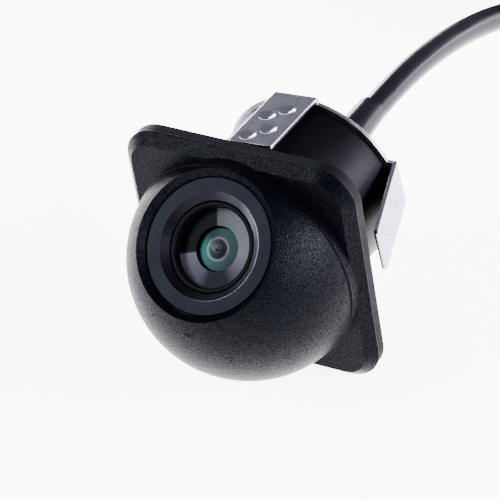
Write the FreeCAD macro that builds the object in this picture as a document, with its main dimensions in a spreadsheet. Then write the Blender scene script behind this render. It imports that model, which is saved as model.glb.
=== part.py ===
import FreeCAD, Part
import math
import os

import Sketcher

# A flush-mount backup camera, in millimetres. X is right, Y points back along the cable and Z up.
# It stands on the flange's lower edge. Barrel parts are drawn around the barrel's axis, with w
# measured back from the flange's rear face, and eye parts around the lens axis, with q measured
# out from the centre of the dome.

SIZES = {
    # housing
    "flange_side": 28.0,
    "flange_corner": 4.2,
    "gasket": 1.25,
    "flange_land": 0.14,
    "flange_chamfer": 1.14,
    "dome_centre": 2.3,
    "dome_radius": 13.15,
    "base_radius": 13.22,
    "base_rise": 1.0,
    "cavity_radius": 10.95,
    "collar_radius": 11.6,
    "collar_length": 1.4,
    "barrel_radius": 10.1,
    "barrel_bore": 8.6,
    "barrel_length": 12.5,
    "rear_wall": 1.6,
    # eye
    "eye_tilt": 45.5,
    "eye_floor": 8.3,
    "eye_rim": 9.6,
    "eye_radius": 7.5,
    "seat_back": 6.2,
    "seat_bore": 5.1,
    # lens
    "lens_head": 4.9,
    "lens_body": 3.95,
    "front_glass": 4.34,
    "middle_glass": 3.27,
    "rear_glass": 2.97,
    "pupil": 0.35,
    # boards
    "board_half": 7.0,
    "board_thick": 0.8,
    "main_board_radius": 8.5,
    "main_board_front": 6.6,
    # spring clip
    "sheet": 0.45,
    "disc_radius": 10.65,
    "leg_width": 5.3,
    "leg_length": 11.2,
    "leg_skew": 4.3,
    "leg_pivot": 10.825,
    "clip_turn": -4.5,
    "pivot_gap": 0.015,
    "dimple_ball": 1.75,
    "dimple_depth": 0.26,
    # screws
    "screw_circle": 6.6,
    "screw_shank": 0.98,
    "screw_head": 1.75,
    # cable, coil and plug
    "cable_radius": 1.5,
    "coil_radius": 16.5,
    "coil_x": -8.0,
    "coil_y": 87.0,
    "tie_thick": 0.5,
    "tie_width": 4.0,
    "plug_radius": 3.75,
    "plug_heading": -9.0,
}

# The cable's corners, from inside the gland to where it joins the coil. y is from the middle.
CABLE_ROUTE = [
    (0.0, 10.9, 14.0),
    (0.0, 24.2, 14.0),
    (0.0, 38.0, 13.0),
    (0.7, 51.0, 9.6),
    (2.4, 61.5, 5.0),
    (5.3, 70.0, 2.2),
    (8.89, 77.25, 2.0),
]

doc = FreeCAD.newDocument("backup_camera")
sheet = doc.addObject("Spreadsheet::Sheet", "sizes")
for row, (alias, number) in enumerate(SIZES.items(), start=1):
    sheet.set(f"A{row}", alias)
    sheet.set(f"B{row}", str(number))
    sheet.setAlias(f"B{row}", alias)
doc.recompute()
parts = []


class Length:
    """A length together with the spreadsheet expression that gives it."""

    def __init__(self, value, text):
        self.value = value
        self.text = text

    def joined(self, other, sign, value):
        return Length(value, f"({self.text} {sign} {text_of(other)})")

    def __add__(self, other):
        return self.joined(other, "+", self.value + number_of(other))

    def __sub__(self, other):
        return self.joined(other, "-", self.value - number_of(other))

    def __mul__(self, other):
        return self.joined(other, "*", self.value * number_of(other))

    def __truediv__(self, other):
        return self.joined(other, "/", self.value / number_of(other))

    def __neg__(self):
        return Length(-self.value, f"(-1 * {self.text})")


def number_of(x):
    return x.value if isinstance(x, Length) else float(x)


def text_of(x):
    return x.text if isinstance(x, Length) else repr(float(x))


def cell(alias):
    return Length(float(sheet.get(alias)), f"sizes.{alias}")


def bind(thing, **sizes):
    for name, size in sizes.items():
        thing.setExpression(name, text_of(size))


# Frames: the local z axis is the one that each name says.
flange_front = -(cell("gasket") + cell("flange_land") + cell("flange_chamfer"))
barrel_end = cell("barrel_length")
plate_back = barrel_end + cell("sheet")
head_height = 1.1
front_reach = number_of(cell("dome_centre") + cell("dome_radius"))
rear_reach = plate_back.value + head_height
flange_y = (front_reach - rear_reach) / 2
axis_z = number_of(cell("flange_side")) / 2
X_AXIS = FreeCAD.Vector(1, 0, 0)
Y_AXIS = FreeCAD.Vector(0, 1, 0)
Z_AXIS = FreeCAD.Vector(0, 0, 1)
WORLD = FreeCAD.Placement()


def turn(axis, degrees):
    return FreeCAD.Placement(FreeCAD.Vector(), FreeCAD.Rotation(axis, degrees))


def at(frame, x=0.0, y=0.0, z=0.0):
    x, y, z = number_of(x), number_of(y), number_of(z)
    return frame * FreeCAD.Placement(FreeCAD.Vector(x, y, z), FreeCAD.Rotation())


BARREL = at(WORLD, 0, flange_y, axis_z) * turn(X_AXIS, -90)
EYE = at(WORLD, 0, flange_y - cell("dome_centre").value, axis_z) * turn(
    X_AXIS, 90 - number_of(cell("eye_tilt"))
)
CLIP = BARREL * turn(Z_AXIS, number_of(cell("clip_turn")))
COIL = at(WORLD, cell("coil_x"), cell("coil_y"), 0)


# Builders -----------------------------------------------------------------------------------


def pin_point(sketch, edge, axis, size):
    """Fixes one coordinate of an edge's first point to a size."""
    if number_of(size) == 0:
        line = -2 if axis == "X" else -1
        sketch.addConstraint(Sketcher.Constraint("PointOnObject", edge, 1, line))
        return
    kind = "Distance" + axis
    index = sketch.addConstraint(
        Sketcher.Constraint(kind, -1, 1, edge, 1, number_of(size))
    )
    if isinstance(size, Length):
        sketch.setExpression(f"Constraints[{index}]", size.text)


def outline(body, plane, loops):
    """A sketch of closed straight-sided loops on one of the body's own planes."""
    sketch = body.newObject("Sketcher::SketchObject", body.Name + "_outline")
    role = [f for f in body.Origin.OriginFeatures if f.Role == plane][0]
    sketch.AttachmentSupport = (role, [""])
    sketch.MapMode = "FlatFace"
    for points in loops:
        first = sketch.GeometryCount
        spots = [FreeCAD.Vector(number_of(x), number_of(y), 0) for x, y in points]
        lines = [Part.LineSegment(a, b) for a, b in zip(spots, spots[1:] + spots[:1])]
        sketch.addGeometry(lines, False)
        for k, (x, y) in enumerate(points):
            after = first + (k + 1) % len(points)
            sketch.addConstraint(
                Sketcher.Constraint("Coincident", first + k, 2, after, 1)
            )
            pin_point(sketch, first + k, "X", x)
            pin_point(sketch, first + k, "Y", y)
    return sketch


def turned(name, place, points):
    """A body of revolution: points are radius and height along the frame's z axis."""
    body = doc.addObject("PartDesign::Body", name)
    sketch = outline(body, "XZ_Plane", [points])
    lathe = body.newObject("PartDesign::Revolution", name + "_turned")
    lathe.Profile = (sketch, [""])
    lathe.ReferenceAxis = (sketch, ["V_Axis"])
    lathe.Angle = 360
    body.Placement = place
    doc.recompute()
    return body


def padded(name, place, plane, loops, thickness, middle=False):
    """A sketch padded to a thickness, along +z on XY_Plane."""
    body = doc.addObject("PartDesign::Body", name)
    sketch = outline(body, plane, loops)
    pad = body.newObject("PartDesign::Pad", name + "_pad")
    pad.Profile = (sketch, [""])
    bind(pad, Length=thickness)
    pad.Midplane = middle
    body.Placement = place
    doc.recompute()
    return body


def rounded(body, radius, length, beyond=-math.inf):
    """Fillets the body's edges that run along z for the whole length, past some x."""
    tip = body.Tip
    names = [
        f"Edge{i}"
        for i, e in enumerate(tip.Shape.Edges, start=1)
        if abs(e.Length - length) < 1e-6
        and abs(e.tangentAt(e.FirstParameter).z) > 0.99
        and e.CenterOfMass.x > beyond
    ]
    fillet = body.newObject("PartDesign::Fillet", body.Name + "_corners")
    fillet.Base = (tip, names)
    bind(fillet, Radius=radius)
    doc.recompute()


def front_chamfer(body, size):
    """Chamfers the whole rim of the face at z = 0."""
    tip = body.Tip
    faces = tip.Shape.Faces
    low = min(range(len(faces)), key=lambda i: faces[i].CenterOfMass.z)
    chamfer = body.newObject("PartDesign::Chamfer", body.Name + "_slope")
    chamfer.Base = (tip, [f"Face{low + 1}"])
    bind(chamfer, Size=size)
    doc.recompute()


def square(half):
    return [(-half, -half), (half, -half), (half, half), (-half, half)]


def cylinder(name, place, radius, height):
    made = doc.addObject("Part::Cylinder", name)
    bind(made, Radius=radius, Height=height)
    made.Placement = place
    return made


def block(name, place, x, y, z):
    """A box centred on the frame's z axis, from z = 0 up."""
    made = doc.addObject("Part::Box", name)
    bind(made, Length=x, Width=y, Height=z)
    made.Placement = at(place, -number_of(x) / 2, -number_of(y) / 2, 0)
    return made


def ball(name, place, radius):
    made = doc.addObject("Part::Sphere", name)
    bind(made, Radius=radius)
    made.Placement = place
    return made


def ring(name, place, middle, section):
    made = doc.addObject("Part::Torus", name)
    bind(made, Radius1=middle, Radius2=section)
    made.Placement = place
    doc.recompute()
    return made


def joined(name, shapes):
    made = doc.addObject("Part::MultiFuse", name)
    made.Shapes = shapes
    made.Refine = True
    doc.recompute()
    return made


def shared(name, shapes):
    made = doc.addObject("Part::MultiCommon", name)
    made.Shapes = shapes
    doc.recompute()
    return made


def cut(name, base, tools):
    made = doc.addObject("Part::Cut", name)
    made.Base = base
    made.Tool = tools[0] if len(tools) == 1 else joined(name + "_tools", tools)
    made.Refine = True
    doc.recompute()
    return made


def grouped(name, shapes):
    """Identical pieces that share one node, as separate solids."""
    made = doc.addObject("Part::Compound", name)
    made.Links = shapes
    doc.recompute()
    return made


def keep(label, made):
    made.Label = label
    parts.append(made)


# Housing ------------------------------------------------------------------------------------

SPIGOT_FRONT = -2.5
SPIGOT_GAP = 0.07
GROOVE = (-2.2, -1.55)
GROOVE_FLOOR = 10.3


def flange_slab():
    thick = cell("flange_land") + cell("flange_chamfer")
    half = cell("flange_side") / 2
    body = padded(
        "flange_slab", at(BARREL, z=flange_front), "XY_Plane", [square(half)], thick
    )
    rounded(body, cell("flange_corner"), thick.value)
    front_chamfer(body, cell("flange_chamfer"))
    return body


def front_shell():
    """The dome, its base step and the flange, hollow behind and open for the eye."""
    centre = at(BARREL, z=-cell("dome_centre"))
    back = -cell("gasket")
    front_half = cylinder(
        "dome_keep", at(BARREL, z=back.value - 20), 16, 20
    )
    dome = shared("dome", [ball("dome_ball", centre, cell("dome_radius")), front_half])
    step_front = flange_front - cell("base_rise")
    step = cylinder(
        "dome_step", at(BARREL, z=step_front), cell("base_radius"), back - step_front
    )
    solid = joined("shell_solid", [flange_slab(), dome, step])
    inside = joined(
        "cavity_open",
        [
            ball("cavity_ball", centre, cell("cavity_radius")),
            cylinder("cavity_bore", centre, cell("cavity_radius"), 4),
        ],
    )
    boss = cylinder("eye_boss", at(EYE, z=cell("seat_back")), 8.9, 6)
    cavity = cut("cavity", inside, [boss])
    rim, flare = cell("eye_rim"), 2.0
    recess = turned(
        "eye_recess",
        EYE,
        [
            (0, cell("eye_floor")),
            (cell("eye_radius"), cell("eye_floor")),
            (cell("eye_radius"), rim),
            (cell("eye_radius") + flare, rim + flare),
            (0, rim + 2 * flare),
        ],
    )
    bore = cylinder("eye_bore", at(EYE, z=5), cell("seat_bore"), 5)
    socket = cylinder(
        "spigot_socket", at(BARREL, z=SPIGOT_FRONT - 0.05), cell("cavity_radius"), 4
    )
    return cut("front_shell", solid, [cavity, socket, recess, bore])


def flange_gasket():
    half = cell("flange_side") / 2 - 0.1
    body = padded(
        "gasket_slab", at(BARREL, z=-cell("gasket")), "XY_Plane", [square(half)],
        cell("gasket"),
    )
    rounded(body, cell("flange_corner") - 0.1, number_of(cell("gasket")))
    bore = cell("collar_radius") + 0.05
    hole = cylinder("gasket_hole", at(BARREL, z=-2), bore, 3)
    return cut("flange_gasket", body, [hole])


SCREW_TURNS = [45, 135, 225, 315]
BOSS_FRONT = 8.9


def screw_spots(z):
    """Frames on the clip screws' axes, between the legs."""
    return [
        at(CLIP * turn(Z_AXIS, a), cell("screw_circle"), 0, z) for a in SCREW_TURNS
    ]


def rear_barrel():
    """The barrel with its collar, its spigot with a seal groove, and screw bosses."""
    spigot = cell("cavity_radius") - SPIGOT_GAP
    collar, outer = cell("collar_radius"), cell("barrel_radius")
    wall = barrel_end - cell("rear_wall")
    shelf = cell("main_board_front") + cell("board_thick") + 0.02
    tube = turned(
        "barrel_tube",
        BARREL,
        [
            (9.3, SPIGOT_FRONT),
            (spigot, SPIGOT_FRONT),
            (spigot, GROOVE[0]),
            (GROOVE_FLOOR, GROOVE[0]),
            (GROOVE_FLOOR, GROOVE[1]),
            (spigot, GROOVE[1]),
            (spigot, 0),
            (collar, 0),
            (collar, cell("collar_length") - 0.15),
            (collar - 0.15, cell("collar_length")),
            (outer, cell("collar_length")),
            (outer, barrel_end - 0.2),
            (outer - 0.2, barrel_end),
            (2.15, barrel_end),
            (2.15, wall),
            (cell("barrel_bore") - 0.6, wall),
            (cell("barrel_bore") - 0.6, shelf),
            (cell("barrel_bore"), shelf),
            (cell("barrel_bore"), 1.9),
            (9.3, 1.2),
        ],
    )
    bosses = [
        cylinder(f"boss_{i}", spot, 1.5, wall - BOSS_FRONT + 0.2)
        for i, spot in enumerate(screw_spots(BOSS_FRONT))
    ]
    holes = [
        cylinder(f"boss_hole_{i}", spot, cell("screw_shank") + 0.01, 4)
        for i, spot in enumerate(screw_spots(BOSS_FRONT + 0.5))
    ]
    return cut("rear_barrel", joined("barrel_solid", [tube] + bosses), holes)


def barrel_oring():
    middle = (GROOVE_FLOOR + cell("cavity_radius").value) / 2
    place = at(BARREL, z=(GROOVE[0] + GROOVE[1]) / 2)
    return ring("barrel_oring", place, middle, 0.315)


# Spring clip --------------------------------------------------------------------------------

# Each leg's angle round the clip, its flare, and its shift along its own fold line.
LEGS = {
    "spring_leg_right": (0, 16.5, -1.24),
    "spring_leg_bottom": (90, 11.0, 0.0),
    "spring_leg_left": (180, 11.0, 0.0),
    "spring_leg_top": (270, 8.0, 0.0),
}
# Each dimple's place along the fold line and down the leg.
DIMPLES = [(-1.05, 5.1), (0.57, 3.4), (-1.13, 9.6), (0.5, 7.8)]
TIP_CORNER = 0.5


def leg_frame(angle, shift):
    """The fold line of one leg: x points out and z back, and y lies along the fold."""
    middle = plate_back - cell("sheet") / 2
    return at(CLIP * turn(Z_AXIS, angle), cell("leg_pivot"), shift, middle)


def clip_plate():
    gap = cell("pivot_gap")
    half = cell("sheet") / 2
    solids = [
        cylinder(
            "clip_disc", at(CLIP, z=barrel_end), cell("disc_radius"), cell("sheet")
        )
    ]
    tools = [cylinder("clip_hole", at(CLIP, z=barrel_end - 1), 2.9, 3)]
    wide = cell("leg_width") + 0.4
    reach = 2.0
    root = half + gap
    for i, (angle, _, shift) in enumerate(LEGS.values()):
        fold = leg_frame(angle, shift)
        tab = at(fold, -reach / 2, 0, -half)
        solids.append(
            block(f"leg_tab_{i}", tab, reach, cell("leg_width"), cell("sheet"))
        )
        tools.append(block(f"leg_notch_{i}", at(fold, reach / 2, 0, -1), reach, wide, 2))
        tools.append(
            block(
                f"leg_sweep_{i}",
                at(fold, (reach - root.value) / 2, 0, -1),
                root + reach,
                wide,
                1,
            )
        )
        tools.append(
            cylinder(
                f"leg_groove_{i}",
                at(fold, 0, wide.value / 2, 0) * turn(X_AXIS, 90),
                root,
                wide,
            )
        )
    for i, spot in enumerate(screw_spots(barrel_end.value - 1)):
        tools.append(cylinder(f"clip_screw_hole_{i}", spot, 1.1, 3))
    return cut("clip_plate", joined("clip_sheet", solids), tools)


def spring_leg(label, angle, flare, shift):
    """One leg with a round root on its fold line, flared out, with four dimples."""
    thick, width, length = cell("sheet"), cell("leg_width"), cell("leg_length")
    fold = leg_frame(angle, shift) * turn(Y_AXIS, -flare)
    skew = math.radians(number_of(cell("leg_skew")))
    lean = length * math.tan(skew)
    corners = [
        (0, -width / 2),
        (length, lean - width / 2),
        (length, lean + width / 2),
        (0, width / 2),
    ]
    # x runs down the leg in the strip's own frame, and z out through the sheet
    down_leg = at(fold, -thick / 2) * turn(Y_AXIS, 90)
    strip = padded(f"{label}_strip", down_leg, "XY_Plane", [corners], thick)
    rounded(strip, TIP_CORNER, thick.value, beyond=length.value / 2)
    root = cylinder(
        f"{label}_root",
        at(fold, 0, width.value / 2, 0) * turn(X_AXIS, 90),
        thick / 2,
        width,
    )
    blank = joined(f"{label}_blank", [strip, root])
    lift = thick / 2 + cell("dimple_ball") - cell("dimple_depth")
    dimples = [
        ball(
            f"{label}_dimple_{i}",
            at(fold, lift, along + down * math.tan(skew), -down),
            cell("dimple_ball"),
        )
        for i, (along, down) in enumerate(DIMPLES)
    ]
    return cut(label, blank, dimples)


def pan_screw(name, place, head, head_high, shank, length):
    """A screw with its head on +z and its shank on -z, and a cross recess."""
    body = turned(
        name + "_blank",
        place,
        [
            (0, -length),
            (shank * 0.6, -length),
            (shank, -length + 0.5),
            (shank, 0),
            (head, 0),
            (head, head_high * 0.45),
            (head * 0.72, head_high * 0.85),
            (head * 0.4, head_high),
            (0, head_high),
        ],
    )
    arm = head * 1.1
    slots = [
        block(f"{name}_slot_{i}", at(place * turn(Z_AXIS, a), z=head_high * 0.45),
              arm, head * 0.22, head_high)
        for i, a in enumerate([45, 135])
    ]
    return cut(name, body, slots)


def clip_screws():
    """Four screws through the plate into the barrel's bosses."""
    screws = [
        pan_screw(
            f"clip_screw_{i}",
            spot,
            number_of(cell("screw_head")),
            head_height,
            number_of(cell("screw_shank")),
            3.4,
        )
        for i, spot in enumerate(screw_spots(plate_back.value))
    ]
    return grouped("clip_screws", screws)


# Eye and lens -------------------------------------------------------------------------------


def bezel_ring():
    outer = cell("eye_radius") - 0.11
    low = cell("eye_floor") + 0.02
    front = cell("eye_rim") - 0.08
    return turned(
        "bezel_ring",
        EYE,
        [
            (4.98, low),
            (5.76, low),
            (5.76, 9.0),
            (6.48, 9.0),
            (6.48, low),
            (outer, low),
            (outer, front - 0.12),
            (outer - 0.12, front),
            (5.8, front),
            (4.98, 8.85),
        ],
    )


def bezel_oring():
    return ring("bezel_oring", at(EYE, z=8.65), 6.12, 0.34)


LENS_TOP = 8.8
FRONT_SEAT = 7.5
STOP_SEAT = 4.2
BODY_END = 0.2


def lens_barrel():
    head, body = cell("lens_head"), cell("lens_body")
    front, middle, rear = (
        cell("front_glass") + 0.02,
        cell("middle_glass") + 0.02,
        cell("rear_glass") + 0.02,
    )
    return turned(
        "lens_barrel",
        EYE,
        [
            (front, LENS_TOP - 0.12),
            (front + 0.12, LENS_TOP),
            (head - 0.12, LENS_TOP),
            (head, LENS_TOP - 0.12),
            (head, 7.2),
            (body, 7.2),
            (body, BODY_END),
            (rear, BODY_END),
            (rear, 3.4),
            (2.0, 3.4),
            (2.0, STOP_SEAT),
            (middle, STOP_SEAT),
            (middle, FRONT_SEAT),
            (front, FRONT_SEAT),
        ],
    )


def lens(name, radius, back, front, bulge, hollow=None):
    """A glass with a convex front, and a concave back where hollow is its radius and top."""
    disc = cylinder(name + "_disc", at(EYE, z=back), radius, front - back)
    dome = ball(name + "_front", at(EYE, z=front - bulge), bulge)
    if hollow is None:
        return shared(name, [disc, dome])
    bowl_radius, bowl_top = hollow
    bowl = ball(name + "_back", at(EYE, z=bowl_top - bowl_radius), bowl_radius)
    return cut(name, shared(name + "_solid", [disc, dome]), [bowl])


def lens_spacer():
    outer = cell("middle_glass")
    return turned(
        "lens_spacer",
        EYE,
        [(1.5, 4.52), (outer, 4.52), (outer, 5.98), (2.3, 5.98)],
    )


def aperture_stop():
    outer = cell("middle_glass")
    hole = cell("pupil")
    return turned(
        "aperture_stop",
        EYE,
        [(hole, 4.26), (hole + 0.2, 4.22), (outer, 4.22), (outer, 4.5), (hole + 0.4, 4.5)],
    )


def lens_lock_ring():
    outer = cell("rear_glass")
    return turned(
        "lens_lock_ring", EYE, [(2.1, 0.5), (outer, 0.5), (outer, 1.3), (2.1, 1.3)]
    )


HOLDER_SCREWS = [(4.8, 4.8), (-4.8, -4.8)]
BOARD_TOP = -1.9


def lens_holder():
    foot = block("holder_foot", at(EYE, z=BOARD_TOP + 0.02), 12, 12, 2.5)
    tube = cylinder("holder_tube", at(EYE, z=0.5), 4.95, 3.9)
    solid = joined("holder_solid", [foot, tube])
    tools = [
        cylinder("holder_bore", at(EYE, z=0.1), cell("lens_body") + 0.02, 5),
        block("holder_window", at(EYE, z=-0.3), 4.6, 4.6, 0.6),
        block("filter_pocket", at(EYE, z=-0.6), 5.5, 5.5, 0.48),
        block("sensor_room", at(EYE, z=-2.5), 7.8, 7.8, 2.05),
    ]
    for i, (x, y) in enumerate(HOLDER_SCREWS):
        tools.append(cylinder(f"holder_hole_{i}", at(EYE, x, y, -2.5), 0.6, 2.7))
    return cut("lens_holder", solid, tools)


def holder_screws():
    screws = []
    for i, (x, y) in enumerate(HOLDER_SCREWS):
        under = BOARD_TOP - cell("board_thick").value - 0.01
        place = at(EYE, x, y, under) * turn(X_AXIS, 180)
        screws.append(pan_screw(f"holder_screw_{i}", place, 1.0, 0.6, 0.58, 2.7))
    return grouped("holder_screws", screws)


def sensor_board():
    thick = cell("board_thick")
    low = BOARD_TOP - thick.value
    body = padded(
        "sensor_board_blank",
        at(EYE, z=low),
        "XY_Plane",
        [square(cell("board_half"))],
        thick,
    )
    rounded(body, 1.5, thick.value)
    holes = [
        cylinder(f"sensor_board_hole_{i}", at(EYE, x, y, low - 1), 0.65, 3)
        for i, (x, y) in enumerate(HOLDER_SCREWS)
    ]
    return cut("sensor_board", body, holes)


# Main board ---------------------------------------------------------------------------------

STANDOFF_X = [-6.4, 6.4]


def main_board():
    front, thick = cell("main_board_front"), cell("board_thick")
    disc = cylinder("main_board_disc", at(BARREL, z=front), cell("main_board_radius"), thick)
    holes = [
        cylinder(f"main_board_hole_{i}", at(BARREL, x, 0, front.value - 1), 0.85, 3)
        for i, x in enumerate(STANDOFF_X)
    ]
    return cut("main_board", disc, holes)


def board_standoffs():
    low = cell("main_board_front") + cell("board_thick") + 0.01
    high = barrel_end - cell("rear_wall") - 0.01
    made = []
    for i, x in enumerate(STANDOFF_X):
        place = at(BARREL, x, 0, low)
        post = cylinder(f"standoff_post_{i}", place, 1.3, high - low)
        bore = cylinder(f"standoff_bore_{i}", place, 0.81, 2.2)
        made.append(cut(f"standoff_{i}", post, [bore]))
    return grouped("board_standoffs", made)


def board_screws():
    front = cell("main_board_front").value - 0.01
    screws = [
        pan_screw(
            f"board_screw_{i}",
            at(BARREL, x, 0, front) * turn(X_AXIS, 180),
            1.3,
            0.8,
            0.8,
            2.8,
        )
        for i, x in enumerate(STANDOFF_X)
    ]
    return grouped("board_screws", screws)


def small_parts(name, spots, x, y, z):
    """Blocks standing on the main board's front face, as one group."""
    front = cell("main_board_front").value - 0.01
    return grouped(
        name,
        [
            block(f"{name}_{i}", at(BARREL, px, py, front - z), x, y, z)
            for i, (px, py) in enumerate(spots)
        ],
    )


def board_ribbon():
    """A flat flexible strip from the tilted board back to the main board's socket."""
    depth = 4.95
    return padded(
        "board_ribbon",
        BARREL,
        "YZ_Plane",
        [[(depth, -3.25), (depth + 0.2, -3.45), (depth + 0.2, 5.98), (depth, 5.98)]],
        4.0,
        middle=True,
    )


# Cable end, coil and plug -------------------------------------------------------------------

GLAND_FRONT = 10.2
SLEEVE_END = 25.8


def strain_relief():
    """The rubber gland in the rear wall, with a long sleeve around the cable."""
    bore = cell("cable_radius") + 0.02
    wall = barrel_end - cell("rear_wall")
    return turned(
        "strain_relief",
        BARREL,
        [
            (bore, GLAND_FRONT),
            (3.1, GLAND_FRONT),
            (3.1, wall - 0.02),
            (2.12, wall - 0.02),
            (2.12, barrel_end + 0.02),
            (2.7, barrel_end + 0.02),
            (2.7, 13.6),
            (2.2, 14.4),
            (bore + 0.16, SLEEVE_END),
            (bore, SLEEVE_END),
        ],
    )


def inner_wires():
    start = 9.02
    return grouped(
        "inner_wires",
        [
            cylinder(
                f"inner_wire_{i}", at(BARREL, x, 0, start), 0.33, GLAND_FRONT - 0.01 - start
            )
            for i, x in enumerate([-1.05, -0.35, 0.35, 1.05])
        ],
    )


def camera_cable():
    """Straight runs joined by tangent arcs, swept with the cable's round section."""
    radius = cell("cable_radius").value
    route = [FreeCAD.Vector(*p) for p in CABLE_ROUTE]
    edges, here, radii = [], route[0], []
    for before, corner, after in zip(route, route[1:], route[2:]):
        into, out = corner - before, after - corner
        half = into.getAngle(out) / 2
        back = 0.45 * min(into.Length, out.Length)
        radii.append(back / math.tan(half))
        into.normalize()
        out.normalize()
        start, end = corner - into * back, corner + out * back
        towards = out - into
        towards.normalize()
        centre = corner + towards * (radii[-1] / math.cos(half))
        middle = centre - towards * radii[-1]
        edges.append(Part.LineSegment(here, start).toShape())
        edges.append(Part.Arc(start, middle, end).toShape())
        here = end
    edges.append(Part.LineSegment(here, route[-1]).toShape())
    path = Part.Wire(edges)
    section = Part.Wire([Part.makeCircle(radius, route[0], route[1] - route[0])])
    tube = path.makePipeShell([section], True, False)
    made = doc.addObject("Part::Feature", "camera_cable")
    made.Shape = tube.Solids[0]
    made.Placement = WORLD
    print("cable arc radii", [round(r, 1) for r in radii])
    print("cable length", round(path.Length, 2))
    print("cable volume", round(made.Shape.Volume, 2))
    print("section times length", round(math.pi * radius**2 * path.Length, 2))
    return made


def coil_outline(grow=0.0):
    """The bundle's outline: three turns side by side, with two nested on top."""
    dia = cell("cable_radius") * 2
    low = cell("tie_thick") - grow * 0.96
    inner = cell("coil_radius") - dia * 1.5 - grow
    outer = cell("coil_radius") + dia * 1.5 + grow
    shoulder = cell("tie_thick") + dia
    top = cell("tie_thick") + dia * 1.866 + grow
    return [
        (inner, low),
        (outer, low),
        (outer, shoulder),
        (outer - dia / 2, top),
        (inner + dia / 2, top),
        (inner, shoulder),
    ]


def cable_coil():
    return turned("cable_coil", COIL, coil_outline())


def coil_tie():
    place = COIL * turn(Z_AXIS, 80)
    loops = [coil_outline(cell("tie_thick"))]
    band = padded("tie_band", place, "XZ_Plane", loops, cell("tie_width"), middle=True)
    return cut("coil_tie", band, [turned("tie_inside", COIL, coil_outline(0.02))])


PLUG_BACK = 4.0
PLUG_OFFSET = 13.55
coil_top = cell("tie_thick") + cell("cable_radius") * 2 * 1.866
plug_z = coil_top + cell("plug_radius") + 0.05
PLUG = at(
    COIL * turn(Z_AXIS, number_of(cell("plug_heading"))), -PLUG_BACK, -PLUG_OFFSET, plug_z
) * turn(Y_AXIS, 90)


def plug_overmold():
    return turned(
        "plug_overmold",
        PLUG,
        [
            (0, 0),
            (2.0, 0),
            (2.5, 5.0),
            (3.4, 6.0),
            (3.4, 12.0),
            (2.6, 12.0),
            (2.6, 14.0),
            (2.95, 14.0),
            (2.95, 14.8),
            (2.6, 14.8),
            (2.6, 16.0),
            (0, 16.0),
        ],
    )


def plug_nut():
    outer = cell("plug_radius")
    sleeve = turned(
        "nut_sleeve",
        PLUG,
        [
            (2.65, 12.1),
            (outer - 0.3, 12.1),
            (outer, 12.5),
            (outer, 20.4),
            (outer - 0.3, 20.8),
            (3.05, 20.8),
            (3.05, 13.9),
            (2.65, 13.9),
        ],
    )
    grooves = [
        cylinder(
            f"nut_groove_{i}",
            at(PLUG * turn(Z_AXIS, 20 * i), outer.value + 0.15, 0, 13.2),
            0.3,
            6.4,
        )
        for i in range(18)
    ]
    return cut("plug_nut", sleeve, grooves)


PIN_CIRCLE = 1.35


def plug_insert():
    body = turned(
        "insert_blank",
        PLUG,
        [
            (0, 16.01),
            (2.5, 16.01),
            (2.5, 17.0),
            (2.0, 17.0),
            (2.0, 17.6),
            (2.5, 17.6),
            (2.5, 19.2),
            (0, 19.2),
        ],
    )
    holes = [
        cylinder(f"insert_hole_{i}", spot, 0.41, 4)
        for i, spot in enumerate(pin_spots(16.5))
    ]
    return cut("plug_insert", body, holes)


def pin_spots(z):
    return [at(PLUG * turn(Z_AXIS, 45 + 90 * i), PIN_CIRCLE, 0, z) for i in range(4)]


def plug_pins():
    return grouped(
        "plug_pins",
        [
            cylinder(f"plug_pin_{i}", spot, 0.4, 4.0)
            for i, spot in enumerate(pin_spots(16.51))
        ],
    )


# Assembly -----------------------------------------------------------------------------------

keep("front_shell", front_shell())
keep("flange_gasket", flange_gasket())
keep("rear_barrel", rear_barrel())
keep("barrel_oring", barrel_oring())
keep("clip_plate", clip_plate())
for leg, (leg_angle, leg_flare, leg_shift) in LEGS.items():
    keep(leg, spring_leg(leg, leg_angle, leg_flare, leg_shift))
keep("clip_screws", clip_screws())

keep("bezel_ring", bezel_ring())
keep("bezel_oring", bezel_oring())
keep("lens_barrel", lens_barrel())
keep(
    "lens_front_element",
    lens("front_element", cell("front_glass"), 7.52, 9.68, 9.0, (3.4, 8.6)),
)
keep(
    "lens_second_element",
    lens("second_element", cell("middle_glass"), 6.0, 7.45, 6.0, (2.8, 6.6)),
)
keep("lens_spacer", lens_spacer())
keep("aperture_stop", aperture_stop())
keep("lens_third_element", lens("third_element", cell("rear_glass"), 2.42, 3.38, 8.0))
keep("lens_rear_element", lens("rear_element", cell("rear_glass"), 1.32, 2.4, 8.0))
keep("lens_lock_ring", lens_lock_ring())
keep("lens_holder", lens_holder())
keep("ir_filter", block("ir_filter", at(EYE, z=-0.43), 5.4, 5.4, 0.3))
keep("holder_screws", holder_screws())
keep("sensor_board", sensor_board())
keep("image_sensor", block("image_sensor", at(EYE, z=BOARD_TOP + 0.01), 6.0, 4.8, 0.8))
keep("sensor_glass", block("sensor_glass", at(EYE, z=BOARD_TOP + 0.82), 5.0, 3.9, 0.35))

keep("board_ribbon", board_ribbon())
keep("ribbon_connector", small_parts("ribbon_socket", [(0, 5.05)], 5.2, 1.4, 0.6))
keep("main_board", main_board())
keep("image_processor", small_parts("processor", [(0, 0.5)], 5.0, 5.0, 0.9))
keep(
    "board_capacitors",
    small_parts("capacitor", [(-4.6, 3.4), (-4.6, -3.4), (4.6, 3.4), (4.6, -3.4)], 1.6, 0.9, 0.8),
)
keep("clock_crystal", small_parts("crystal", [(0, -4.6)], 3.2, 1.6, 0.7))
keep("board_standoffs", board_standoffs())
keep("board_screws", board_screws())
keep(
    "cable_header",
    block("cable_header", at(BARREL, z=cell("main_board_front") + 0.81), 5.6, 2.6, 1.6),
)
keep("inner_wires", inner_wires())

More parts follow.
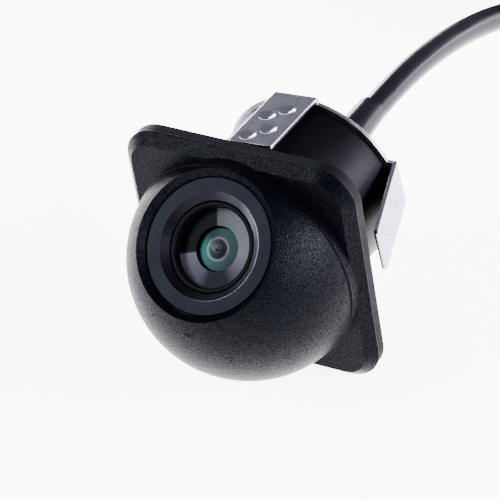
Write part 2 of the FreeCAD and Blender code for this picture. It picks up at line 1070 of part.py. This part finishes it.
keep("strain_relief", strain_relief())
keep("camera_cable", camera_cable())
keep("cable_coil", cable_coil())
keep("coil_tie", coil_tie())
keep("plug_overmold", plug_overmold())
keep("plug_nut", plug_nut())
keep("plug_insert", plug_insert())
keep("plug_pins", plug_pins())
keep("plug_seal", ring("plug_seal", at(PLUG, z=17.3), 2.27, 0.26))

doc.recompute()
for thing in doc.Objects:
    if "Invalid" in thing.State or "Error" in thing.State:
        raise RuntimeError(f"{thing.Name} did not build: {thing.State}")
os.makedirs("parts", exist_ok=True)
for made in parts:
    if made.Shape.isNull() or not made.Shape.isValid() or not made.Shape.Solids:
        raise RuntimeError(f"{made.Label} has no valid solid")
    made.Shape.exportStep(f"parts/{made.Label}.step")
    print(made.Label, len(made.Shape.Solids), round(made.Shape.Volume, 2))
print("flange rear face at y", round(flange_y, 4), "and axis at z", axis_z)
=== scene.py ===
import math

import bmesh
import bpy
from mathutils import Matrix, Vector


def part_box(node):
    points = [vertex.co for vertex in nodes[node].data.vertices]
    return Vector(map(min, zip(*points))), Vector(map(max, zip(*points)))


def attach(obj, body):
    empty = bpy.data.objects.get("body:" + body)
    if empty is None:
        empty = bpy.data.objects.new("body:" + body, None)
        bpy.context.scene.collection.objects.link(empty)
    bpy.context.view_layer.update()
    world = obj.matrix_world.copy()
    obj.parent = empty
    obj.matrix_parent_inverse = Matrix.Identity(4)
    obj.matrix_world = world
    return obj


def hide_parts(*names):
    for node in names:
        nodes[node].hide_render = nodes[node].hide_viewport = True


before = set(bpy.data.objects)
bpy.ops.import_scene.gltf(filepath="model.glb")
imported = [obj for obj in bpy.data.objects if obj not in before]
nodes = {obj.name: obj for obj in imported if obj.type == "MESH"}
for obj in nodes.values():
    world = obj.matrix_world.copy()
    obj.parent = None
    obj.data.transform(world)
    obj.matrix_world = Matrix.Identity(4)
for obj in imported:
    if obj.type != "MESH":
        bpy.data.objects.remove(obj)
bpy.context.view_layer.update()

# A flush-mount backup camera, in the CAD model's own frame: X is right, Y points back along the
# cable and Z up, and the part stands on the flange's lower edge. Sizes in capitals are in mm
# unless MM is in them, and angles are in degrees.

MM = 0.001
AXIS_HEIGHT = 14
flange_back = Vector((0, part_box("flange_gasket")[1].y, AXIS_HEIGHT * MM))


# Camera -------------------------------------------------------------------------------------

VIEW_FROM = Vector((0.1738, -0.2408, 0.2308))
VIEW_AHEAD = Vector((-0.464, 0.638, -0.614))
VIEW_RIGHT = Vector((0.860, 0.490, -0.141))
FOCAL_LENGTH = 252


def make_camera():
    """A long lens in front of the flange, above it and to its right, with a slight roll."""
    data = bpy.data.cameras.new("camera")
    data.lens = FOCAL_LENGTH
    data.sensor_width = 36
    data.clip_start = 0.01
    camera = bpy.data.objects.new("camera", data)
    bpy.context.scene.collection.objects.link(camera)
    ahead = VIEW_AHEAD.normalized()
    right = (VIEW_RIGHT - ahead * VIEW_RIGHT.dot(ahead)).normalized()
    up = right.cross(ahead)
    place = Matrix((right, up, -ahead)).transposed().to_4x4()
    place.translation = flange_back + VIEW_FROM
    camera.matrix_world = place
    bpy.context.scene.camera = camera


make_camera()


# Cable --------------------------------------------------------------------------------------

CABLE_RADIUS = 1.5 * MM
# from inside the gland to where the cable joins its coil
ROUTE = [
    (0.0, 10.9, 14.0),
    (0.0, 24.2, 14.0),
    (0.0, 38.0, 13.0),
    (0.7, 51.0, 9.6),
    (2.4, 61.5, 5.0),
    (5.3, 70.0, 2.2),
    (8.89, 77.25, 2.0),
]
COIL_MIDDLE = Vector((-8 * MM, 87 * MM, 0))
COIL_TURNS = 4.6
TURN_POINTS = 24
FIRST_ANGLE = -30
# three turns on the floor from the outside in, then two on top of them
TURN_RADII = [19.5, 16.5, 13.5, 15.0, 18.0]
FLOOR_LAYER, TOP_LAYER = 2.0, 4.6
# the arc from the top turn up into the plug's back
ARC_START, ARC_STEP, ARC_POINTS = 186, 15, 5
ARC_MIDDLE = 6
ARC_RADIUS = 12
PLUG_HEIGHT = 9.898
PLUG_HEADING = -9
PLUG_REACH = 3.2


def step(n, start, end, before, after):
    """Eases from one value to another as n goes from start to end."""
    x = min(max((n - start) / (end - start), 0.0), 1.0)
    return before + (after - before) * (x * x * (3 - 2 * x))


def heading(angle):
    return Vector((math.cos(math.radians(angle)), math.sin(math.radians(angle)), 0))


def coil_point(n):
    """The cable after n turns. Each turn eases over to the next in its last quarter."""
    radius = TURN_RADII[0]
    for turn, next_radius in enumerate(TURN_RADII[1:]):
        radius = step(n, turn + 0.75, turn + 1, radius, next_radius)
    height = step(n, 2.75, 3, FLOOR_LAYER, TOP_LAYER)
    angle = math.radians(FIRST_ANGLE + 360 * n)
    reach = radius * MM / math.cos(math.pi / TURN_POINTS)
    return COIL_MIDDLE + Vector((math.cos(angle) * reach, math.sin(angle) * reach, height * MM))


def cable_points():
    """The whole route, from the gland round the coil and up into the plug."""
    points = [Vector(p) * MM for p in ROUTE]
    count = round(COIL_TURNS * TURN_POINTS)
    points += [coil_point((k - 0.5) / TURN_POINTS) for k in range(1, count + 1)]
    middle = COIL_MIDDLE + heading(ARC_START) * ARC_MIDDLE * MM
    for k in range(1, ARC_POINTS + 1):
        rise = step(k, 0, ARC_POINTS, TOP_LAYER, PLUG_HEIGHT)
        side = heading(ARC_START + ARC_STEP * k) * ARC_RADIUS
        points.append(middle + Vector((side.x, side.y, rise)) * MM)
    points.append(points[-1] + heading(PLUG_HEADING) * PLUG_REACH * MM)
    return points


def make_cable():
    """One smooth round curve through the route, of the cable's thickness."""
    data = bpy.data.curves.new("camera_cord", "CURVE")
    data.dimensions = "3D"
    data.resolution_u = 12
    data.bevel_depth = 1.0
    data.bevel_resolution = 8
    data.use_fill_caps = True
    line = data.splines.new("NURBS")
    points = cable_points()
    line.points.add(len(points) - 1)
    for spot, point in zip(line.points, points):
        spot.co = (*point, 1)
        spot.radius = CABLE_RADIUS
    line.order_u = 3
    line.use_endpoint_u = True
    cable = bpy.data.objects.new("camera_cord", data)
    bpy.context.scene.collection.objects.link(cable)
    return cable


cable = make_cable()
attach(cable, "camera")
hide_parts("camera_cable", "cable_coil")


# Spring legs --------------------------------------------------------------------------------

SHEET = 0.45
LEG_PIVOT = 10.825
LEG_LENGTH = 11.2
LEG_HALF_WIDTH = 2.65
LEG_SKEW = math.tan(math.radians(4.3))
TIP_CORNER = 0.5
CLIP_TURN = -4.5
DISC_Y = 12.725
# each leg's angle round the clip, its flare, and its shift along its own fold line
LEGS = {
    "right": (0, 16.5, -1.24),
    "bottom": (90, 11.0, 0.0),
    "left": (180, 11.0, 0.0),
    "top": (270, 8.0, 0.0),
}
# each dimple's place along the fold line and down the leg
DIMPLES = [(-1.05, 5.1), (0.57, 3.4), (-1.13, 9.6), (0.5, 7.8)]
DIMPLE_BALL = 1.45
DIMPLE_DEPTH = 0.32
# how widely a dimple's rim rolls over, and the drop below which the sheet stays flat
RIM_ROLL = 0.0012
LEAST_DROP = 0.004
# the inner side bulges by this share of the dimple
BULGE = 0.7
ROOT_STEP = 15
FLAT_ROWS = 72
TIP_ROWS = 8
COLUMNS = 36
EDGE_RADIUS = 0.05


def dimple_drop(x, y):
    """How far the sheet is pressed in at x across and y down the leg."""
    drop = 0.0
    for along, down in DIMPLES:
        away = math.hypot(x - along - down * LEG_SKEW, y - down)
        floor = DIMPLE_DEPTH - (DIMPLE_BALL - math.sqrt(max(DIMPLE_BALL**2 - away**2, 0)))
        drop = max(drop, (floor + math.sqrt(floor * floor + RIM_ROLL)) / 2)
    return drop if drop > LEAST_DROP else 0.0


def leg_rows():
    """Pairs of distance down the leg and half thickness, with the round root first."""
    half = SHEET / 2
    rows = []
    for angle in range(90, -1, -ROOT_STEP):
        lean = math.radians(angle)
        rows.append((-half * math.sin(lean), half * math.cos(lean)))
    flat = LEG_LENGTH - TIP_CORNER
    rows += [(flat * k / FLAT_ROWS, half) for k in range(1, FLAT_ROWS + 1)]
    for k in range(1, TIP_ROWS + 1):
        rows.append((flat + TIP_CORNER * math.sin(math.radians(90 * k / TIP_ROWS)), half))
    return rows


def half_width(down):
    """Half the leg's width, which narrows round the corners of its tip."""
    past = min(max(down - (LEG_LENGTH - TIP_CORNER), 0.0), TIP_CORNER)
    return LEG_HALF_WIDTH - TIP_CORNER + math.sqrt(max(TIP_CORNER**2 - past**2, 0.0))


def make_leg(name, angle, flare, shift):
    """A leg pressed from sheet: round root, four dimples, round tip corners, eased edges."""
    turn = math.radians(angle + CLIP_TURN)
    lean = math.radians(flare)
    out = Vector((math.cos(turn), 0, -math.sin(turn)))
    along = Vector((-math.sin(turn), 0, -math.cos(turn)))
    back = Vector((0, 1, 0))
    fold_middle = Vector((0, flange_back.y / MM + DISC_Y, AXIS_HEIGHT))
    root = LEG_PIVOT * out + shift * along + fold_middle
    down_leg = out * math.sin(lean) - back * math.cos(lean)
    outward = out * math.cos(lean) + back * math.sin(lean)
    mesh = bpy.data.meshes.new("sheet_leg_" + name)
    work = bmesh.new()
    outer, inner = [], []
    for down, half in leg_rows():
        top, low = [], []
        for c in range(COLUMNS + 1):
            across = (2 * c / COLUMNS - 1) * half_width(down)
            x = across + max(down, 0.0) * LEG_SKEW
            drop = dimple_drop(x, down)
            spot = root + along * x + down_leg * down
            top.append(work.verts.new((spot + outward * (half - drop)) * MM))
            low.append(work.verts.new((spot - outward * (half + drop * BULGE)) * MM))
        outer.append(top)
        inner.append(low)
    last = len(outer) - 1
    for r in range(last):
        for c in range(COLUMNS):
            work.faces.new((outer[r][c], outer[r][c + 1], outer[r + 1][c + 1], outer[r + 1][c]))
            work.faces.new((inner[r][c], inner[r + 1][c], inner[r + 1][c + 1], inner[r][c + 1]))
        for c in (0, COLUMNS):
            work.faces.new((outer[r][c], outer[r + 1][c], inner[r + 1][c], inner[r][c]))
    for c in range(COLUMNS):
        work.faces.new((outer[last][c], outer[last][c + 1], inner[last][c + 1], inner[last][c]))
    bmesh.ops.remove_doubles(work, verts=work.verts, dist=0.000001)
    bmesh.ops.recalc_face_normals(work, faces=work.faces)
    work.to_mesh(mesh)
    work.free()
    leg = bpy.data.objects.new("sheet_leg_" + name, mesh)
    bpy.context.scene.collection.objects.link(leg)
    ease = leg.modifiers.new("eased_edges", "BEVEL")
    ease.width = EDGE_RADIUS * MM
    ease.segments = 2
    ease.limit_method = "ANGLE"
    ease.angle_limit = math.radians(50)
    mesh.shade_smooth()
    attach(leg, "leg_" + name)
    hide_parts("spring_leg_" + name)
    return leg


legs = [make_leg(name, *sizes) for name, sizes in LEGS.items()]


# Floor and lights ---------------------------------------------------------------------------


def make_floor():
    """A plain white floor that glows evenly."""
    mesh = bpy.data.meshes.new("floor")
    half = 3.0
    corners = [(-half, -half, 0), (half, -half, 0), (half, half, 0), (-half, half, 0)]
    mesh.from_pydata(corners, [], [(0, 1, 2, 3)])
    floor = bpy.data.objects.new("floor", mesh)
    bpy.context.scene.collection.objects.link(floor)
    paint = bpy.data.materials.new("floor")
    paint.use_nodes = True
    shader = paint.node_tree.nodes["Principled BSDF"]
    shader.inputs["Base Color"].default_value = (0.85, 0.85, 0.86, 1)
    shader.inputs["Roughness"].default_value = 0.9
    shader.inputs["Specular IOR Level"].default_value = 0.0
    shader.inputs["Emission Color"].default_value = (1, 0.99, 0.99, 1)
    shader.inputs["Emission Strength"].default_value = 7
    mesh.materials.append(paint)


def softbox(name, towards, distance, wide, tall, radiance, colour):
    """A rectangular soft light in that direction from the flange, facing it."""
    data = bpy.data.lights.new(name, "AREA")
    data.shape = "RECTANGLE"
    data.size = wide
    data.size_y = tall
    data.energy = radiance * math.pi * wide * tall
    data.color = colour
    light = bpy.data.objects.new(name, data)
    out = Vector(towards).normalized()
    light.location = flange_back + out * distance
    light.rotation_euler = (-out).to_track_quat("-Z", "Y").to_euler()
    bpy.context.scene.collection.objects.link(light)


def make_lights():
    """A dim bluish room, two lights at the sides, one behind and one in front."""
    world = bpy.data.worlds.new("studio")
    bpy.context.scene.world = world
    world.use_nodes = True
    back = world.node_tree.nodes["Background"]
    back.inputs["Color"].default_value = (0.9, 0.93, 1, 1)
    back.inputs["Strength"].default_value = 0.5
    softbox("right", (0.93, 0.2, 0.32), 0.7, 0.7, 0.15, 140, (0.95, 0.93, 1))
    softbox("back_left", (-0.84, 0.53, 0.12), 0.8, 0.5, 0.12, 75, (0.92, 0.95, 1))
    softbox("behind", (0.35, 0.93, 0.05), 0.6, 0.5, 0.08, 30, (0.95, 0.96, 1))
    softbox("key", (-0.6, -0.5, 0.62), 0.7, 0.25, 0.25, 80, (0.92, 0.95, 1))


make_floor()
make_lights()


# Materials ----------------------------------------------------------------------------------

# the eye's centre and axis, and where its parts change from one surface to another
DOME_CENTRE = 2.3
EYE_TILT = math.radians(45.5)
SEAT_TOP = 7.58
BOWL_RADIUS = 2.44
CONE_RADIUS = 5.82
COATED_RADIUS = 3.0
EYE = Vector((0, flange_back.y - DOME_CENTRE * MM, flange_back.z))
EYE_AXIS = Vector((0, -math.cos(EYE_TILT), math.sin(EYE_TILT)))
EYE_UP = Vector((0, EYE_AXIS.z, -EYE_AXIS.y))


class Paint:
    """A Principled material whose colour, roughness and bump wander in object space."""

    def __init__(self, name, colour, rough, metal=0.0, specular=0.5, round_edge=0.0):
        self.material = bpy.data.materials.new(name)
        self.material.use_nodes = True
        self.tree = self.material.node_tree
        self.shader = self.tree.nodes["Principled BSDF"]
        self.set("Base Color", (*colour, 1))
        self.set("Roughness", rough)
        self.set("Metallic", metal)
        self.set("Specular IOR Level", specular)
        self.set("Specular Tint", (0.84, 0.86, 1, 1))
        self.colour, self.rough = colour, rough
        if round_edge:
            bevel = self.add("ShaderNodeBevel", Radius=round_edge)
            bevel.samples = 4
            self.link(bevel.outputs["Normal"], self.shader.inputs["Normal"])

    def set(self, key, value):
        self.shader.inputs[key].default_value = value
        return self

    def link(self, a, b):
        self.tree.links.new(a, b)

    def add(self, kind, **values):
        node = self.tree.nodes.new(kind)
        for key, value in values.items():
            node.inputs[key].default_value = value
        return node

    def maths(self, operation, a, b=None):
        """One step of arithmetic on numbers or sockets."""
        node = self.tree.nodes.new("ShaderNodeMath")
        node.operation = operation
        for k, x in enumerate((a, b)):
            if isinstance(x, (int, float)):
                node.inputs[k].default_value = x
            elif x is not None:
                self.link(x, node.inputs[k])
        return node.outputs["Value"]

    def noise(self, scale, detail, stretch=(1, 1, 1)):
        """A soft noise from 0 to 1, with so many grains a metre."""
        coords = self.tree.nodes.new("ShaderNodeTexCoord")
        mapping = self.tree.nodes.new("ShaderNodeMapping")
        mapping.inputs["Scale"].default_value = [scale * s for s in stretch]
        texture = self.add("ShaderNodeTexNoise", Scale=1, Detail=detail)
        self.link(coords.outputs["Object"], mapping.inputs["Vector"])
        self.link(mapping.outputs["Vector"], texture.inputs["Vector"])
        return texture.outputs["Fac"]

    def spread(self, value, low, high):
        """A noise value mapped on to a range of numbers."""
        node = self.tree.nodes.new("ShaderNodeMapRange")
        node.inputs["From Min"].default_value = 0.3
        node.inputs["From Max"].default_value = 0.7
        node.inputs["To Min"].default_value = low
        node.inputs["To Max"].default_value = high
        self.link(value, node.inputs["Value"])
        return node.outputs["Result"]

    def ramp(self, value, stops):
        """Colours along a value from 0 to 1."""
        node = self.tree.nodes.new("ShaderNodeValToRGB")
        bar = node.color_ramp
        for k, (place, colour) in enumerate(stops):
            spot = bar.elements[k] if k < 2 else bar.elements.new(place)
            spot.position = place
            spot.color = (*colour, 1)
        self.link(value, node.inputs["Fac"])
        return node.outputs["Color"]

    def mottle(self, scale, share=0.2, tint=(1, 1, 1), stretch=(1, 1, 1)):
        """The base colour wanders by a share of itself."""
        low = [c * (1 - share) for c in self.colour]
        high = [min(c * (1 + share) * t, 1) for c, t in zip(self.colour, tint)]
        colour = self.ramp(self.noise(scale, 4, stretch), [(0.3, low), (0.7, high)])
        self.link(colour, self.shader.inputs["Base Color"])
        return self

    def scuff(self, scale, reach):
        """The roughness wanders."""
        value = self.spread(self.noise(scale, 5), self.rough - reach, self.rough + reach)
        self.link(value, self.shader.inputs["Roughness"])
        return self

    def sparkle(self, scale, low, high):
        """The strength of the highlights wanders from grain to grain."""
        value = self.spread(self.noise(scale, 1), low, high)
        self.link(value, self.shader.inputs["Specular IOR Level"])
        return self

    def grain(self, scale, depth, strength, stretch=(1, 1, 1)):
        """A bump of that depth in metres, on top of the rounded edges."""
        bump = self.add("ShaderNodeBump", Strength=strength, Distance=depth)
        self.link(self.noise(scale, 2, stretch), bump.inputs["Height"])
        before = self.shader.inputs["Normal"].links
        if before:
            self.link(before[0].from_socket, bump.inputs["Normal"])
        self.link(bump.outputs["Normal"], self.shader.inputs["Normal"])
        return self

    def eye_part(self, axis):
        """The distance in mm from the eye's centre along one of its directions."""
        coords = self.tree.nodes.new("ShaderNodeTexCoord")
        away = self.tree.nodes.new("ShaderNodeVectorMath")
        away.operation = "SUBTRACT"
        away.inputs[1].default_value = EYE
        dot = self.tree.nodes.new("ShaderNodeVectorMath")
        dot.operation = "DOT_PRODUCT"
        dot.inputs[1].default_value = axis / MM
        self.link(coords.outputs["Object"], away.inputs[0])
        self.link(away.outputs["Vector"], dot.inputs[0])
        return dot.outputs["Value"]

    def eye_round(self):
        """The distance in mm from the lens axis, and the turn about it from 0 to 1."""
        x = self.eye_part(Vector((1, 0, 0)))
        y = self.eye_part(EYE_UP)
        squares = self.maths("ADD", self.maths("MULTIPLY", x, x), self.maths("MULTIPLY", y, y))
        angle = self.maths("ARCTAN2", y, x)
        turn = self.maths("MULTIPLY", self.maths("ADD", angle, math.pi), 0.5 / math.pi)
        return self.maths("SQRT", squares), turn

    def blend(self, share, flat, colour):
        """The flat colour where share is 0, the other where it is 1."""
        mix = self.tree.nodes.new("ShaderNodeMix")
        mix.data_type = "RGBA"
        mix.inputs[6].default_value = (*flat, 1)
        self.link(share, mix.inputs["Factor"])
        self.link(colour, mix.inputs[7])
        return mix.outputs[2]

    def multiply(self, a, b):
        """One colour times another."""
        mix = self.tree.nodes.new("ShaderNodeMix")
        mix.data_type = "RGBA"
        mix.blend_type = "MULTIPLY"
        mix.inputs["Factor"].default_value = 1
        self.link(a, mix.inputs[6])
        self.link(b, mix.inputs[7])
        return mix.outputs[2]

    def clear(self, tint, keep=0.1):
        """Turns it into thin clear glass, except for the share that keep gives."""
        through = self.add("ShaderNodeBsdfTransparent", Color=(*tint, 1))
        both = self.tree.nodes.new("ShaderNodeMixShader")
        if isinstance(keep, float):
            both.inputs["Fac"].default_value = keep
        else:
            self.link(keep, both.inputs["Fac"])
        self.link(through.outputs["BSDF"], both.inputs[1])
        self.link(self.shader.outputs["BSDF"], both.inputs[2])
        self.link(both.outputs["Shader"], self.tree.nodes["Material Output"].inputs["Surface"])
        return self


def front_glass_paint():
    """Clear in the dome and the bowl, with a dark seat round the bowl that carries a painted
    reflection in four tones round the lens axis.
    """
    paint = Paint("front_glass", (0.02, 0.02, 0.025), 0.4, specular=0.01)
    radius, turn = paint.eye_round()
    black, lavender = (0.001, 0.001, 0.0015), (0.045, 0.041, 0.058)
    slate, grey = (0.007, 0.007, 0.01), (0.05, 0.053, 0.056)
    # painted reflection on the seat: black, lavender, slate and grey sectors by the turn about
    # the lens axis
    colour = paint.ramp(
        turn,
        [
            (0.0, black),
            (0.05, black),
            (0.058, lavender),
            (0.2, (0.03, 0.028, 0.04)),
            (0.24, slate),
            (0.345, slate),
            (0.39, (0.03, 0.03, 0.036)),
            (0.5, (0.065, 0.065, 0.07)),
            (0.66, grey),
            (0.79, (0.028, 0.032, 0.034)),
            (0.798, black),
        ],
    )
    paint.link(colour, paint.shader.inputs["Base Color"])
    low = paint.maths("LESS_THAN", paint.eye_part(EYE_AXIS), SEAT_TOP)
    wide = paint.maths("GREATER_THAN", radius, BOWL_RADIUS)
    return paint.clear((0.97, 0.98, 0.98), paint.maths("MULTIPLY", low, wide))


def bezel_paint():
    """Satin black on the flat, with a metal turned cone inside whose colour is painted light:
    bright round one side of the turn, dark round the rest.
    """
    paint = Paint("bezel", (0.002, 0.002, 0.004), 0.4, specular=0.02, round_edge=0.00005)
    paint.scuff(400, 0.04).grain(3000, 0.000008, 0.5)
    radius, turn = paint.eye_round()
    cone = paint.maths("LESS_THAN", radius, CONE_RADIUS)
    paint.link(cone, paint.shader.inputs["Metallic"])
    # painted light on the cone: its colour brightens round one side of the turn and darkens
    # round the rest
    painted_cone_light = paint.ramp(
        turn,
        [
            (0.0, (0.005, 0.005, 0.007)),
            (0.2, (0.008, 0.008, 0.012)),
            (0.42, (0.06, 0.06, 0.075)),
            (0.6, (0.13, 0.13, 0.15)),
            (0.68, (0.02, 0.02, 0.025)),
            (0.78, (0.004, 0.004, 0.005)),
        ],
    )
    colour = paint.blend(cone, (0.002, 0.0023, 0.0042), painted_cone_light)
    paint.link(colour, paint.shader.inputs["Base Color"])
    return paint


def coated_glass_paint():
    """The second element, painted: rings for the lens group under it round a dark pupil, with a
    whitish painted highlight ring, times a painted coating reflection that is teal on one side
    and pinkish on the other.
    """
    paint = Paint("coated_glass", (0.03, 0.06, 0.06), 0.25, specular=0.03)
    radius, turn = paint.eye_round()
    # rings for the lens group under it; the whitish ring at about 1.2 mm from the axis is a
    # painted highlight
    rings = paint.ramp(
        paint.maths("DIVIDE", radius, COATED_RADIUS),
        [
            (0.0, (0.0003, 0.0003, 0.0003)),
            (0.1, (0.0006, 0.001, 0.001)),
            (0.13, (0.012, 0.02, 0.02)),
            (0.2, (0.004, 0.007, 0.008)),
            (0.3, (0.012, 0.018, 0.018)),
            (0.345, (0.005, 0.007, 0.007)),
            (0.37, (0.11, 0.14, 0.14)),
            (0.43, (0.09, 0.12, 0.12)),
            (0.47, (0.028, 0.06, 0.056)),
            (0.74, (0.032, 0.085, 0.075)),
            (0.79, (0.001, 0.0015, 0.002)),
        ],
    )
    # painted reflection of the coating: its tint changes by the turn about the lens axis
    painted_coating_reflection = paint.ramp(
        turn,
        [
            (0.0, (0.4, 0.8, 0.7)),
            (0.12, (0.6, 0.8, 0.8)),
            (0.25, (0.7, 0.5, 0.6)),
            (0.45, (0.6, 0.4, 0.48)),
            (0.62, (0.65, 0.5, 0.56)),
            (0.75, (0.55, 0.42, 0.48)),
            (0.86, (0.3, 0.2, 0.3)),
            (1.0, (0.4, 0.8, 0.7)),
        ],
    )
    paint.link(paint.multiply(rings, painted_coating_reflection), paint.shader.inputs["Base Color"])
    return paint


housing = Paint("housing", (0.0003, 0.0004, 0.0009), 0.36, specular=0.05, round_edge=0.00012)
housing.mottle(900, 0.1).scuff(500, 0.03).sparkle(6500, 0.002, 0.04)
housing.grain(5600, 0.0001, 0.6).set("Sheen Weight", 0.016).set("Sheen Roughness", 0.3)
housing.set("Sheen Tint", (0.6, 0.7, 1, 1))
rubber = Paint("rubber", (0.0015, 0.0015, 0.002), 0.6, specular=0.03, round_edge=0.0001)
rubber.mottle(700, 0.2).scuff(300, 0.06).grain(3600, 0.00002, 0.5)
satin = Paint("satin", (0.0005, 0.0005, 0.001), 0.42, specular=0.045, round_edge=0.0001)
satin.mottle(300, 0.15).scuff(200, 0.05).grain(1800, 0.000012, 0.4)
bezel = bezel_paint()
steel = Paint("steel", (0.27, 0.26, 0.29), 0.2, metal=1.0)
steel.mottle(700, 0.04).scuff(400, 0.03)
plate = Paint("plate", (0.27, 0.26, 0.29), 0.26, metal=1.0, round_edge=0.00005)
plate.mottle(1500, 0.05).scuff(900, 0.05).grain(3000, 0.000003, 0.3)
screw = Paint("screw", (0.3, 0.3, 0.32), 0.25, metal=1.0, round_edge=0.00006)
screw.mottle(1500, 0.06).scuff(900, 0.06).grain(2000, 0.000004, 0.3)
pvc = Paint("pvc", (0.002, 0.002, 0.003), 0.25, specular=0.12)
pvc.mottle(400, 0.15).scuff(180, 0.05).grain(700, 0.00003, 0.35)
tie = Paint("tie", (0.012, 0.012, 0.014), 0.45, specular=0.3, round_edge=0.00008)
tie.mottle(400, 0.15).scuff(180, 0.05).grain(2500, 0.00001, 0.4, stretch=(1, 1, 0.1))
anodised = Paint("anodised", (0.001, 0.001, 0.0015), 0.4, specular=0.01, round_edge=0.00004)
anodised.mottle(900, 0.15).scuff(500, 0.05).grain(2500, 0.00001, 0.4)
holder = Paint("holder", (0.03, 0.03, 0.032), 0.5, specular=0.3, round_edge=0.0001)
holder.mottle(700, 0.15).scuff(400, 0.06).grain(3000, 0.00002, 0.4)
pale = Paint("pale", (0.62, 0.58, 0.48), 0.42, round_edge=0.00006)
pale.mottle(900, 0.05).scuff(500, 0.05).grain(2000, 0.00001, 0.3)
brass = Paint("brass", (0.75, 0.55, 0.25), 0.25, metal=1.0, round_edge=0.00004)
brass.mottle(900, 0.08).scuff(500, 0.05).grain(2500, 0.000005, 0.3)
board = Paint("board", (0.012, 0.1, 0.035), 0.3, round_edge=0.00005)
board.mottle(2500, 0.35, (1.2, 1.1, 1)).scuff(900, 0.08).grain(2500, 0.00001, 0.4)
chip = Paint("chip", (0.015, 0.015, 0.017), 0.5, specular=0.35, round_edge=0.00005)
chip.mottle(900, 0.15).scuff(500, 0.06).grain(4000, 0.00001, 0.4)
ribbon = Paint("ribbon", (0.42, 0.17, 0.03), 0.3)
ribbon.mottle(2500, 0.2, stretch=(1, 0.05, 0.05)).scuff(900, 0.06).grain(2500, 0.00001, 0.4)
ceramic = Paint("ceramic", (0.42, 0.3, 0.2), 0.45, round_edge=0.00006)
ceramic.mottle(1500, 0.15).scuff(900, 0.06).grain(3000, 0.00001, 0.4)
cores = Paint("cores", (0.3, 0.02, 0.02), 0.35)
cores.mottle(350, 0.9, (1.5, 8, 1.2), stretch=(1, 0.1, 0.1)).scuff(400, 0.05)
cores.grain(900, 0.00002, 0.3)
front_glass = front_glass_paint()
coated_glass = coated_glass_paint()
inner_glass = Paint("inner_glass", (0.02, 0.03, 0.03), 0.1).clear((0.85, 0.97, 0.92))
inner_glass.grain(900, 0.000002, 0.2)
filter_glass = Paint("filter_glass", (0.02, 0.05, 0.06), 0.1).clear((0.65, 0.95, 1.0))
filter_glass.grain(900, 0.000002, 0.2)

# the nodes that each material goes on
SHARES = {
    housing: ["front_shell"],
    rubber: ["flange_gasket", "barrel_oring", "bezel_oring", "plug_seal"],
    satin: ["rear_barrel", "plug_overmold", "plug_nut"],
    bezel: ["bezel_ring"],
    tie: ["coil_tie"],
    plate: ["clip_plate"],
    screw: ["clip_screws", "holder_screws", "board_screws", "clock_crystal"],
    anodised: ["lens_barrel", "lens_spacer", "aperture_stop", "lens_lock_ring"],
    holder: ["lens_holder"],
    front_glass: ["lens_front_element"],
    coated_glass: ["lens_second_element"],
    inner_glass: ["lens_third_element", "lens_rear_element"],
    filter_glass: ["ir_filter", "sensor_glass"],
    board: ["sensor_board", "main_board"],
    chip: ["image_sensor", "image_processor"],
    ribbon: ["board_ribbon"],
    pale: ["cable_header", "ribbon_connector", "plug_insert"],
    ceramic: ["board_capacitors"],
    brass: ["plug_pins", "board_standoffs"],
    cores: ["inner_wires"],
    steel: ["spring_leg_" + name for name in LEGS],
    pvc: ["camera_cable", "cable_coil", "strain_relief"],
}
for paint, names in SHARES.items():
    for name in names:
        mesh = nodes[name].data
        mesh.materials.clear()
        mesh.materials.append(paint.material)
cable.data.materials.append(pvc.material)
for leg in legs:
    leg.data.materials.append(steel.material)

for node in nodes.values():
    node.data.shade_smooth()
    node.data.set_sharp_from_angle(angle=math.radians(30))
